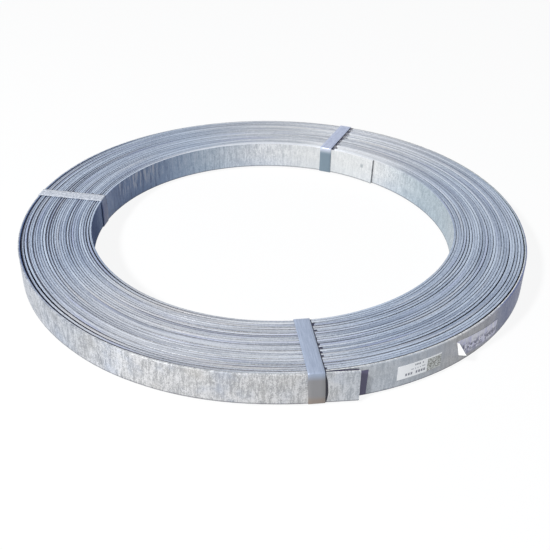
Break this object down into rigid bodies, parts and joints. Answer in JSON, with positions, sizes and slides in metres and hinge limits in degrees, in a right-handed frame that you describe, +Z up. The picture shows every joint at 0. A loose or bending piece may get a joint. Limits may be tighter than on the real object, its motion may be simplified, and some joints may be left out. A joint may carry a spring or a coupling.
{
  "type": "galvanised steel strip coil",
  "caption": "Flat ring coil of galvanised steel strip lying on its side face, open bore, held by radial steel straps with crimped seals, two stickers on the outer wall.",
  "frame": {"origin": "middle of the underside, on the floor that the seals stand on", "axes": "+Z up along the ring's axis, -Y towards the free outer end and the stickers"},
  "size_m": [0.6878, 0.6896, 0.0453],
  "materials": {
    "galvanised_strip": "hot-dip galvanised, dull silver with faint spangle and rolling streaks",
    "steel_strapping": "cold-rolled strapping, smooth blue-grey",
    "strapping_seal": "pressed sheet steel, dull zinc",
    "label_paper": "white self-adhesive paper with grey print",
    "label_film": "pale lavender film sticker, one corner lifted"
  },
  "bodies": {
    "root": {"strip_coil": "galvanised_strip", "strap_front": "steel_strapping", "seal_front": "strapping_seal", "strap_left": "steel_strapping", "seal_left": "strapping_seal", "strap_back": "steel_strapping", "seal_back": "strapping_seal", "label_paper": "label_paper", "label_film": "label_film"}
  },
  "joints": []
}
